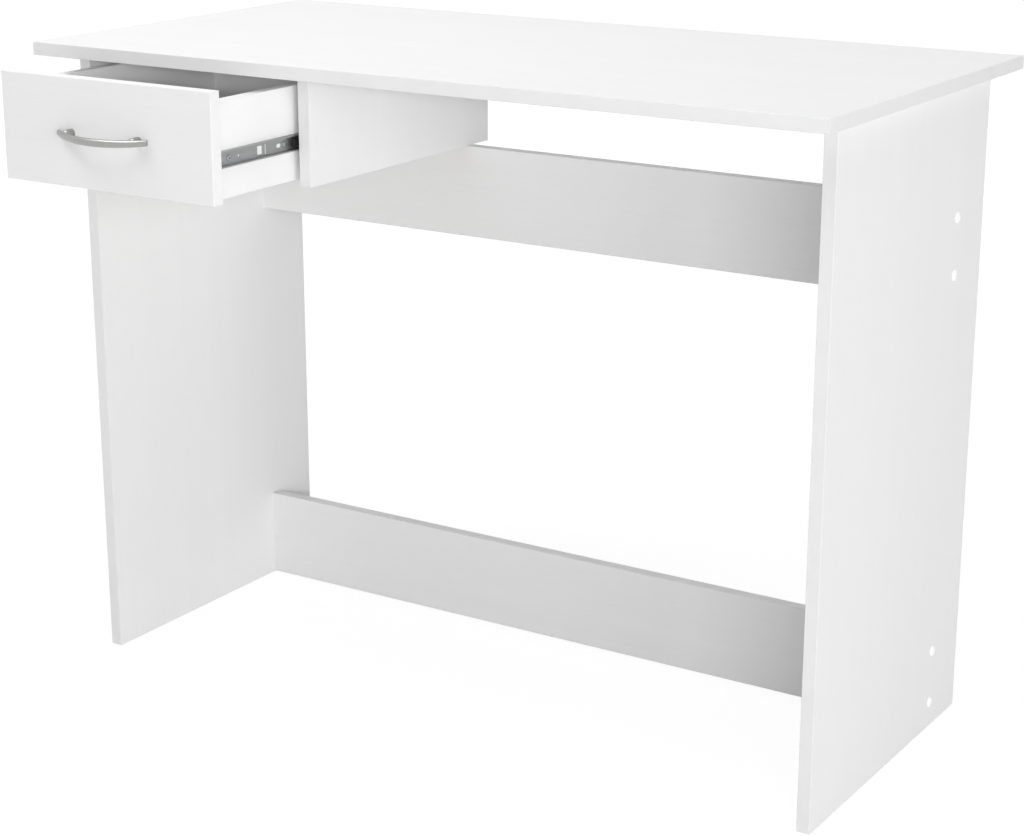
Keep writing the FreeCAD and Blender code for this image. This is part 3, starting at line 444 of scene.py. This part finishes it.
def makeMetal(name):
    look = metalLooks[name]
    material, tree, shader, spot = startMaterial(name, Metallic=1.0)
    drawn = scaled(tree, spot.outputs["Object"], alongAxis(look["axis"], look["stretch"]))
    streaks = placeEffect(tree, "streaks", drawn, **{"Streak Scale": look["scale"]})
    tone = mixValue(tree, metalCloudShare, streaks.outputs["Streaks"], streaks.outputs["Cloud"])
    feed(tree, mixColour(tree, tone, look["light"], look["dark"]), shader.inputs["Base Color"])
    feed(tree, mixValue(tree, streaks.outputs["Streaks"], *look["roughness"]), shader.inputs["Roughness"])
    bump(tree, shader, streaks.outputs["Streaks"], look["depth"], metalStrength)
    return material


metals = {name: makeMetal(name) for name in metalLooks}


# moulded plastics

plasticLooks = {
    "blackMoulding": {
        "light": grey(0.022), "dark": grey(0.012), "roughness": (0.42, 0.58), "depth": 0.00004,
    },
    "whiteCap": {
        "light": grey(0.97), "dark": grey(0.95), "roughness": (0.22, 0.3), "depth": 0.00001,
    },
}
plasticGrain = {"markScale": 160.0, "scale": 2600.0, "detail": 2.0, "strength": 0.5}


def makePlastic(name):
    look = plasticLooks[name]
    material, tree, shader, spot = startMaterial(name)
    place = spot.outputs["Object"]
    marks = placeEffect(tree, "marks", place, **{"Mark Scale": plasticGrain["markScale"]})
    grain = noise(tree, place, plasticGrain["scale"], plasticGrain["detail"])
    tint = mixColour(tree, marks.outputs["Marks"], look["light"], look["dark"])
    feed(tree, tint, shader.inputs["Base Color"])
    feed(tree, mixValue(tree, grain, *look["roughness"]), shader.inputs["Roughness"])
    bump(tree, shader, grain, look["depth"], plasticGrain["strength"])
    return material


plastics = {name: makePlastic(name) for name in plasticLooks}
finishes = {
    boards["desktop"]: ["desktop"],
    boards["panel"]: ["left_side_panel", "right_side_panel", "drawer_partition"],
    boards["rail"]: ["upper_rear_rail", "lower_rear_rail", "drawer_front"],
    boards["drawerSide"]: ["drawer_left_side", "drawer_right_side"],
    boards["drawerBack"]: ["drawer_back"],
    makeBand("carcaseBand", "carcase"): ["desktop_edge_band", "side_panel_edge_bands", "rail_edge_bands",
                                         "partition_edge_bands"],
    # the drawer's band tone carries painted light, the carcase's partly painted shade
    makeBand("drawerBand", "drawer"): ["drawer_front_edge_band", "drawer_box_edge_bands"],
    makeHardboard(): ["drawer_bottom"],
    makeBeech("uprightBeech", "Z"): ["desktop_dowels", "partition_dowel"],
    makeBeech("levelBeech", "Y"): ["drawer_dowels"],
    metals["zincSheet"]: ["left_cabinet_rail", "right_cabinet_rail", "left_drawer_rail",
                          "right_drawer_rail"],
    metals["zincScrew"]: ["rail_screws", "desktop_cam_bolts", "cabinet_rail_screws", "drawer_cam_bolts",
                          "drawer_back_screws", "drawer_bottom_pins", "pull_screws", "drawer_rail_screws",
                          "lever_rivets"],
    metals["cageSheet"]: ["left_ball_cage", "right_ball_cage"],
    metals["ballSteel"]: ["left_slide_balls", "right_slide_balls"],
    metals["castZinc"]: ["side_panel_cam_locks", "partition_cam_locks", "drawer_cam_locks"],
    metals["satinNickel"]: ["pull_handle"],
    plastics["blackMoulding"]: ["rear_bumpers", "left_release_lever", "right_release_lever"],
    plastics["whiteCap"]: ["screw_caps"],
}
for material, names in finishes.items():
    for name in names:
        part = nodes[name]
        if not part.material_slots:
            part.data.materials.append(material)
        for slot in part.material_slots:
            slot.material = material
print("finishes on", sum(len(names) for names in finishes.values()), "nodes")


# fasteners, one Geometry Nodes tree for each kind

def startShape(name, labels):
    tree = bpy.data.node_groups.new(name, "GeometryNodeTree")
    tree.interface.new_socket("Geometry", in_out="INPUT", socket_type="NodeSocketGeometry")
    for label in labels:
        tree.interface.new_socket(label, in_out="INPUT", socket_type="NodeSocketFloat")
    tree.interface.new_socket("Geometry", in_out="OUTPUT", socket_type="NodeSocketGeometry")
    return tree, addNode(tree, "NodeGroupInput").outputs, addNode(tree, "NodeGroupOutput").inputs


def vector(tree, x=0.0, y=0.0, z=0.0):
    node = addNode(tree, "ShaderNodeCombineXYZ")
    for source, target in zip((x, y, z), node.inputs):
        feed(tree, source, target)
    return node.outputs[0]


def shifted(tree, geometry, move, turn=(0.0, 0.0, 0.0)):
    node = addNode(tree, "GeometryNodeTransform")
    feed(tree, geometry, node.inputs["Geometry"])
    feed(tree, move, node.inputs["Translation"])
    node.inputs["Rotation"].default_value = turn
    return node.outputs[0]


def subtract(tree, body, cutter):
    node = addNode(tree, "GeometryNodeMeshBoolean", operation="DIFFERENCE", solver="EXACT")
    tree.links.new(body, node.inputs["Mesh 1"])
    tree.links.new(cutter, node.inputs["Mesh 2"])
    return node.outputs["Mesh"]


def cylinder(tree, diameter, length, sides):
    node = addNode(tree, "GeometryNodeMeshCylinder", fill_type="NGON")
    node.inputs["Vertices"].default_value = sides
    feed(tree, maths(tree, "MULTIPLY", diameter, 0.5), node.inputs["Radius"])
    feed(tree, length, node.inputs["Depth"])
    return node.outputs["Mesh"]


recessShape = {"bladeShare": 0.2, "taper": 0.55}    # a blade's thickness, and how far its foot narrows


def crossRecess(tree, body, width, depth, level):
    # two tapered blades across each other, sunk into the top of a head
    for turn in (0.0, quarterTurn):
        blade = addNode(tree, "GeometryNodeMeshCube")
        thick = maths(tree, "MULTIPLY", width, recessShape["bladeShare"])
        feed(tree, vector(tree, width, thick, maths(tree, "MULTIPLY", depth, 2.0)), blade.inputs["Size"])
        spread = addNode(tree, "GeometryNodeSetPosition")
        spot = addNode(tree, "GeometryNodeInputPosition")
        parts = addNode(tree, "ShaderNodeSeparateXYZ")
        tree.links.new(spot.outputs[0], parts.inputs[0])
        low = maths(tree, "LESS_THAN", parts.outputs[2], 0.0)
        taper = maths(tree, "SUBTRACT", 1.0, maths(tree, "MULTIPLY", low, recessShape["taper"]))
        tree.links.new(blade.outputs["Mesh"], spread.inputs["Geometry"])
        feed(tree, vector(tree, maths(tree, "MULTIPLY", parts.outputs[0], taper), parts.outputs[1],
                          parts.outputs[2]), spread.inputs["Position"])
        cutter = shifted(tree, spread.outputs[0], vector(tree, z=level), (0.0, 0.0, turn))
        body = subtract(tree, body, cutter)
    return body


sharpAngle = 0.6    # edges folded more than this stay crisp


def setOut(tree, geometry, points, result, material):
    # copies stand on the points, their heads along aim and their marks along mark
    stand = addNode(tree, "GeometryNodeInstanceOnPoints")
    rotation = None
    for attribute, axis, pivot in (("aim", "Z", "AUTO"), ("mark", "X", "Z")):
        named = addNode(tree, "GeometryNodeInputNamedAttribute", data_type="FLOAT_VECTOR")
        named.inputs["Name"].default_value = attribute
        align = addNode(tree, "FunctionNodeAlignRotationToVector", axis=axis, pivot_axis=pivot)
        tree.links.new(named.outputs["Attribute"], align.inputs["Vector"])
        if rotation is not None:
            tree.links.new(rotation, align.inputs["Rotation"])
        rotation = align.outputs[0]
    tree.links.new(points, stand.inputs["Points"])
    tree.links.new(geometry, stand.inputs["Instance"])
    tree.links.new(rotation, stand.inputs["Rotation"])
    real = addNode(tree, "GeometryNodeRealizeInstances")
    tree.links.new(stand.outputs[0], real.inputs[0])
    smooth = addNode(tree, "GeometryNodeSetShadeSmooth", domain="FACE")
    tree.links.new(real.outputs[0], smooth.inputs["Geometry"])
    sharp = addNode(tree, "GeometryNodeSetShadeSmooth", domain="EDGE")
    angle = addNode(tree, "GeometryNodeInputMeshEdgeAngle")
    tree.links.new(smooth.outputs[0], sharp.inputs["Geometry"])
    tree.links.new(maths(tree, "GREATER_THAN", angle.outputs[0], sharpAngle), sharp.inputs["Selection"])
    sharp.inputs["Shade Smooth"].default_value = False
    paint = addNode(tree, "GeometryNodeSetMaterial")
    paint.inputs["Material"].default_value = material
    tree.links.new(sharp.outputs[0], paint.inputs["Geometry"])
    tree.links.new(paint.outputs[0], result)


crownMesh = {"Segments": 32, "Rings": 20}


def crowned(tree, diameter, height, swell, edge):
    # a flat underside and a crowned top with steep sides
    head = addNode(tree, "GeometryNodeMeshUVSphere")
    for label, count in crownMesh.items():
        head.inputs[label].default_value = count
    radius = maths(tree, "MULTIPLY", diameter, 0.5)
    feed(tree, radius, head.inputs["Radius"])
    spot = addNode(tree, "GeometryNodeInputPosition")
    parts = addNode(tree, "ShaderNodeSeparateXYZ")
    tree.links.new(spot.outputs[0], parts.inputs[0])
    squares = [maths(tree, "POWER", maths(tree, "ABSOLUTE", parts.outputs[k]), 2.0) for k in (0, 1)]
    out = maths(tree, "SQRT", maths(tree, "ADD", *squares))
    share = maths(tree, "MINIMUM", maths(tree, "DIVIDE", out, radius), 1.0)
    crown = maths(tree, "POWER", maths(tree, "SUBTRACT", 1.0, maths(tree, "POWER", share, swell)), edge)
    upper = maths(tree, "GREATER_THAN", parts.outputs[2], 0.0)
    level = maths(tree, "MULTIPLY", maths(tree, "MULTIPLY", crown, upper), height)
    shape = addNode(tree, "GeometryNodeSetPosition")
    tree.links.new(head.outputs["Mesh"], shape.inputs["Geometry"])
    feed(tree, vector(tree, parts.outputs[0], parts.outputs[1], level), shape.inputs["Position"])
    return shape.outputs[0]


def onShank(tree, head, diameter, length, sides):
    shank = cylinder(tree, diameter, length, sides)
    drop = maths(tree, "MULTIPLY", length, -0.5)
    whole = addNode(tree, "GeometryNodeJoinGeometry")
    tree.links.new(head, whole.inputs[0])
    tree.links.new(shifted(tree, shank, vector(tree, z=drop)), whole.inputs[0])
    return whole.outputs[0]


screwLabels = ("Head Diameter", "Head Height", "Shank Diameter", "Shank Length", "Recess Width",
               "Recess Depth")
screwShape = {"swell": 3.2, "edge": 0.42, "shankSides": 20}


def makeScrewTree(material):
    tree, given, result = startShape("panHeadScrews", screwLabels)
    head = crowned(tree, given["Head Diameter"], given["Head Height"], screwShape["swell"],
                   screwShape["edge"])
    head = crossRecess(tree, head, given["Recess Width"], given["Recess Depth"], given["Head Height"])
    whole = onShank(tree, head, given["Shank Diameter"], given["Shank Length"], screwShape["shankSides"])
    setOut(tree, whole, given["Geometry"], result[0], material)
    return tree


capLabels = ("Cap Diameter", "Cap Height", "Peg Diameter", "Peg Length")
capShape = {"swell": 2.4, "edge": 0.6, "pegSides": 6}


def makeCapTree(material):
    tree, given, result = startShape("coverCaps", capLabels)
    button = crowned(tree, given["Cap Diameter"], given["Cap Height"], capShape["swell"],
                     capShape["edge"])
    whole = onShank(tree, button, given["Peg Diameter"], given["Peg Length"], capShape["pegSides"])
    setOut(tree, whole, given["Geometry"], result[0], material)
    return tree


camLabels = ("Cam Diameter", "Cam Depth", "Bore Diameter", "Bore Level", "Recess Width", "Recess Depth",
             "Mark Width", "Mark Depth")
camShape = {"sides": 48, "boreSides": 24, "markSides": 3, "boreShare": 0.35, "markShare": 0.36}


def makeCamTree(material):
    tree, given, result = startShape("camLocks", camLabels)
    depth = given["Cam Depth"]
    body = cylinder(tree, given["Cam Diameter"], depth, camShape["sides"])
    body = shifted(tree, body, vector(tree, z=maths(tree, "MULTIPLY", depth, -0.5)))
    bore = cylinder(tree, given["Bore Diameter"], given["Cam Diameter"], camShape["boreSides"])
    toRim = maths(tree, "MULTIPLY", given["Cam Diameter"], camShape["boreShare"])
    down = maths(tree, "MULTIPLY", given["Bore Level"], -1.0)
    bore = shifted(tree, bore, vector(tree, x=toRim, z=down), (0.0, quarterTurn, 0.0))
    body = subtract(tree, body, bore)
    body = crossRecess(tree, body, given["Recess Width"], given["Recess Depth"], 0.0)
    sunk = maths(tree, "MULTIPLY", given["Mark Depth"], 2.0)
    arrow = cylinder(tree, given["Mark Width"], sunk, camShape["markSides"])
    tip = maths(tree, "MULTIPLY", given["Cam Diameter"], camShape["markShare"])
    body = subtract(tree, body, shifted(tree, arrow, vector(tree, x=tip)))
    setOut(tree, body, given["Geometry"], result[0], material)
    return tree


weldDistance = 0.000001     # faces of one solid meet this closely


def solidBoxes(name):
    # corners of each separate solid in a CAD node
    copy = bmesh.new()
    copy.from_mesh(nodes[name].data)
    bmesh.ops.remove_doubles(copy, verts=copy.verts, dist=weldDistance)
    left = set(copy.verts)
    boxes = []
    while left:
        todo = [left.pop()]
        found = []
        while todo:
            vert = todo.pop()
            found.append(vert.co.copy())
            for edge in vert.link_edges:
                other = edge.other_vert(vert)
                if other in left:
                    left.remove(other)
                    todo.append(other)
        boxes.append((Vector(map(min, zip(*found))), Vector(map(max, zip(*found)))))
    copy.free()
    return sorted(boxes, key=lambda box: tuple(round(value, 5) for value in box[0]))


def makeFasteners(name, tree, sizes, spots, body, replaced):
    mesh = bpy.data.meshes.new(name)
    mesh.from_pydata([spot[0] for spot in spots], [], [])
    for k, attribute in ((1, "aim"), (2, "mark")):
        layer = mesh.attributes.new(attribute, "FLOAT_VECTOR", "POINT")
        layer.data.foreach_set("vector", [value for spot in spots for value in spot[k]])
    piece = bpy.data.objects.new(name, mesh)
    bpy.context.scene.collection.objects.link(piece)
    shaping = piece.modifiers.new("shape", "NODES")
    shaping.node_group = tree
    for item in tree.interface.items_tree:
        if item.item_type == "SOCKET" and item.in_out == "INPUT" and item.name in sizes:
            shaping[item.identifier] = sizes[item.name]
    evaluated = piece.evaluated_get(bpy.context.evaluated_depsgraph_get())
    solid = bpy.data.meshes.new_from_object(evaluated)
    piece.modifiers.remove(shaping)
    piece.data = solid
    solid.name = name
    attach(piece, body)
    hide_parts(*replaced)
    print(name, len(spots), "pieces,", len(solid.polygons), "faces")


screwSizes = {"Head Diameter": 0.007, "Head Height": 0.0015, "Shank Diameter": 0.0034,
              "Recess Width": 0.0038, "Recess Depth": 0.0011}
pullScrewSizes = {"Head Diameter": 0.008, "Head Height": 0.0024, "Shank Diameter": 0.004,
                  "Recess Width": 0.0042, "Recess Depth": 0.0016}
camSizes = {"Cam Diameter": 0.015, "Bore Diameter": 0.0072, "Recess Width": 0.0064,
            "Recess Depth": 0.0032, "Mark Width": 0.003, "Mark Depth": 0.0005}
boreLevels = {"carcase": 0.0075, "drawer": 0.006}    # bolt's depth below the face of its board
capSizes = {"Cap Diameter": 0.0125, "Cap Height": 0.0026, "Peg Diameter": 0.0044, "Peg Length": 0.0023}
capSeat = 0.0016                # CAD cap's height over its panel
upward = Vector((0, 0, 1))


def railScrewSpots(name, outward):
    spots = []
    for low, high in solidBoxes(name):
        middle = (low + high) / 2
        side = outward if middle.x > bayMiddle.x else -outward
        middle.x = (high.x if side > 0 else low.x) - side * screwSizes["Head Height"]
        length = high.x - low.x - screwSizes["Head Height"]
        spots.append((middle, Vector((side, 0, 0)), upward))
    return spots, length


def pullScrewSpots():
    spots = []
    for low, high in solidBoxes("pull_screws"):
        middle = (low + high) / 2
        middle.y = high.y - pullScrewSizes["Head Height"]
        length = high.y - low.y - pullScrewSizes["Head Height"]
        spots.append((middle, Vector((0, 1, 0)), upward))
    return spots, length


def camSpots(name, reference, arrow):
    spots = []
    for low, high in solidBoxes(name):
        middle = (low + high) / 2
        side = -1 if middle.x > reference else 1
        middle.x = high.x if side > 0 else low.x
        spots.append((middle, Vector((side, 0, 0)), arrow))
    return spots, high.x - low.x


def capSpots():
    spots = []
    for low, high in solidBoxes("screw_caps"):
        middle = (low + high) / 2
        side = 1 if middle.x > 0 else -1
        middle.x = (high.x if side > 0 else low.x) - side * capSeat
        spots.append((middle, Vector((side, 0, 0)), upward))
    return spots


screwTree = makeScrewTree(metals["zincScrew"])
camTree = makeCamTree(metals["castZinc"])
for name, body, outward in (("drawer_rail_screws", "drawer", 1), ("cabinet_rail_screws", "carcase", -1)):
    spots, length = railScrewSpots(name, outward)
    makeFasteners(name + "_detail", screwTree, {**screwSizes, "Shank Length": length}, spots, body,
                  [name])

spots, length = pullScrewSpots()
makeFasteners("pull_screws_detail", screwTree, {**pullScrewSizes, "Shank Length": length}, spots,
              "drawer", ["pull_screws"])

carcaseCams = []
for name, reference in (("side_panel_cam_locks", 0.0), ("partition_cam_locks", bayMiddle.x)):
    spots, depth = camSpots(name, reference, upward)
    carcaseCams += spots
makeFasteners("carcase_cam_locks_detail", camTree,
              {**camSizes, "Cam Depth": depth, "Bore Level": boreLevels["carcase"]}, carcaseCams,
              "carcase", ["side_panel_cam_locks", "partition_cam_locks"])
drawerCams, depth = camSpots("drawer_cam_locks", bayMiddle.x, Vector((0, -1, 0)))
makeFasteners("drawer_cam_locks_detail", camTree,
              {**camSizes, "Cam Depth": depth, "Bore Level": boreLevels["drawer"]}, drawerCams,
              "drawer", ["drawer_cam_locks"])
makeFasteners("screw_caps_detail", makeCapTree(plastics["whiteCap"]), capSizes, capSpots(), "carcase",
              ["screw_caps"])


# pale floor: throws back light like any floor, but looks near white with a faint shadow

def seenDirectly(tree):
    # on for the camera, and for what gloss mirrors
    path = addNode(tree, "ShaderNodeLightPath")
    mirrored = maths(tree, "MAXIMUM", path.outputs["Is Glossy Ray"], path.outputs["Is Transmission Ray"])
    return maths(tree, "MAXIMUM", path.outputs["Is Camera Ray"], mirrored)


floorLook = {
    "half": 9.0,
    "drop": 0.0004,             # the floor lies just below the desk's feet
    "pale": grey(0.80),
    "paler": grey(0.81),
    "dustScale": 3.0,
    "dustDetail": 3.0,
    "shadowShare": 0.15,
    "glow": (0.89, 0.985),      # by the desk, and far off where it meets the backdrop
    "fade": (1.3, 4.5),         # how far from the desk the glow starts and stops growing
}


def makeFloor():
    material = bpy.data.materials.new("paleFloor")
    material.use_nodes = True
    tree = material.node_tree
    tree.nodes.clear()
    output = addNode(tree, "ShaderNodeOutputMaterial")
    spot = addNode(tree, "ShaderNodeTexCoord")
    plain = addNode(tree, "ShaderNodeBsdfDiffuse")
    dust = noise(tree, spot.outputs["Object"], floorLook["dustScale"], floorLook["dustDetail"])
    feed(tree, mixColour(tree, dust, floorLook["pale"], floorLook["paler"]), plain.inputs["Color"])
    faint = addNode(tree, "ShaderNodeBsdfDiffuse")
    faint.inputs["Color"].default_value = grey(floorLook["shadowShare"])
    glow = addNode(tree, "ShaderNodeEmission")
    away = addNode(tree, "ShaderNodeVectorMath", operation="LENGTH")
    feed(tree, spot.outputs["Object"], away.inputs[0])
    level = between(tree, away.outputs["Value"], *floorLook["fade"], *floorLook["glow"])
    feed(tree, level, glow.inputs["Strength"])
    seen = addNode(tree, "ShaderNodeAddShader")
    tree.links.new(faint.outputs[0], seen.inputs[0])
    tree.links.new(glow.outputs[0], seen.inputs[1])
    choose = addNode(tree, "ShaderNodeMixShader")
    tree.links.new(seenDirectly(tree), choose.inputs[0])
    tree.links.new(plain.outputs[0], choose.inputs[1])
    tree.links.new(seen.outputs[0], choose.inputs[2])
    tree.links.new(choose.outputs[0], output.inputs["Surface"])
    return material


half = floorLook["half"]
floorMesh = bpy.data.meshes.new("floor")
corners = [(-half, -half, 0), (half, -half, 0), (half, half, 0), (-half, half, 0)]
floorMesh.from_pydata(corners, [], [(0, 1, 2, 3)])
floorMesh.materials.append(makeFloor())
floorMesh.transform(Matrix.Translation((0, 0, -floorLook["drop"])))
floor = bpy.data.objects.new("floor", floorMesh)
bpy.context.scene.collection.objects.link(floor)
print("floor laid")


# studio light: an even white room and soft lamps

studio = {
    "room": 0.25,
    "aim": (0.0, 0.0, 0.42),
    "lamps": {                  # glint: the lamp itself shows in gloss and metal
        "overhead": {"place": (0.1, 0.3, 3.1), "size": (2.6, 1.6), "watts": 28.5, "glint": True},
        "overFront": {"place": (-0.95, -1.35, 3.0), "size": (2.8, 1.0), "watts": 27.0, "glint": True},
        "left": {"place": (-2.3, -1.5, 2.6), "size": (1.8, 1.8), "watts": 10.0, "glint": False},
        "right": {"place": (4.8, -2.4, 1.0), "size": (2.6, 2.6), "watts": 115.0, "glint": False},
        "behindCamera": {"place": (3.05, -4.0, 1.47), "size": (1.6, 0.3), "watts": 75.0, "glint": False},
        "rearLeft": {"place": (-3.8, 3.2, 1.2), "size": (2.6, 2.6), "watts": 70.0, "glint": False},
    },
}
world = bpy.data.worlds.new("whiteRoom")
bpy.context.scene.world = world
world.use_nodes = True
room = world.node_tree
room.nodes.clear()
roomOutput = addNode(room, "ShaderNodeOutputWorld")
lighting = addNode(room, "ShaderNodeBackground")
lighting.inputs["Strength"].default_value = studio["room"]
backdrop = addNode(room, "ShaderNodeBackground")
for shade in (lighting, backdrop):
    shade.inputs["Color"].default_value = grey(1.0)
chooseRoom = addNode(room, "ShaderNodeMixShader")
room.links.new(seenDirectly(room), chooseRoom.inputs[0])
room.links.new(lighting.outputs[0], chooseRoom.inputs[1])
room.links.new(backdrop.outputs[0], chooseRoom.inputs[2])
room.links.new(chooseRoom.outputs[0], roomOutput.inputs["Surface"])
for name, lamp in studio["lamps"].items():
    light = bpy.data.lights.new(name, "AREA")
    light.shape = "RECTANGLE"
    light.size, light.size_y = lamp["size"]
    light.energy = lamp["watts"]
    holder = bpy.data.objects.new(name, light)
    holder.location = lamp["place"]
    aim = Vector(studio["aim"]) - holder.location
    holder.rotation_euler = aim.to_track_quat("-Z", "Y").to_euler()
    holder.visible_camera = False
    holder.visible_glossy = lamp["glint"]
    bpy.context.scene.collection.objects.link(holder)
print("studio lit")


# camera at the photograph's view

view = {
    "place": (1.36378, -2.09895, 1.10406),
    "target": (0.02883, 0.0, 0.34525),
    "lens": 79.496,
    "sensor": 36.0,
    "reach": 100.0,
}
lensData = bpy.data.cameras.new("camera")
lensData.lens = view["lens"]
lensData.sensor_width = view["sensor"]
lensData.clip_end = view["reach"]
camera = bpy.data.objects.new("camera", lensData)
camera.location = view["place"]
camera.rotation_euler = (Vector(view["target"]) - camera.location).to_track_quat("-Z", "Y").to_euler()
bpy.context.scene.collection.objects.link(camera)
bpy.context.scene.camera = camera
bpy.context.scene.view_settings.view_transform = "Standard"
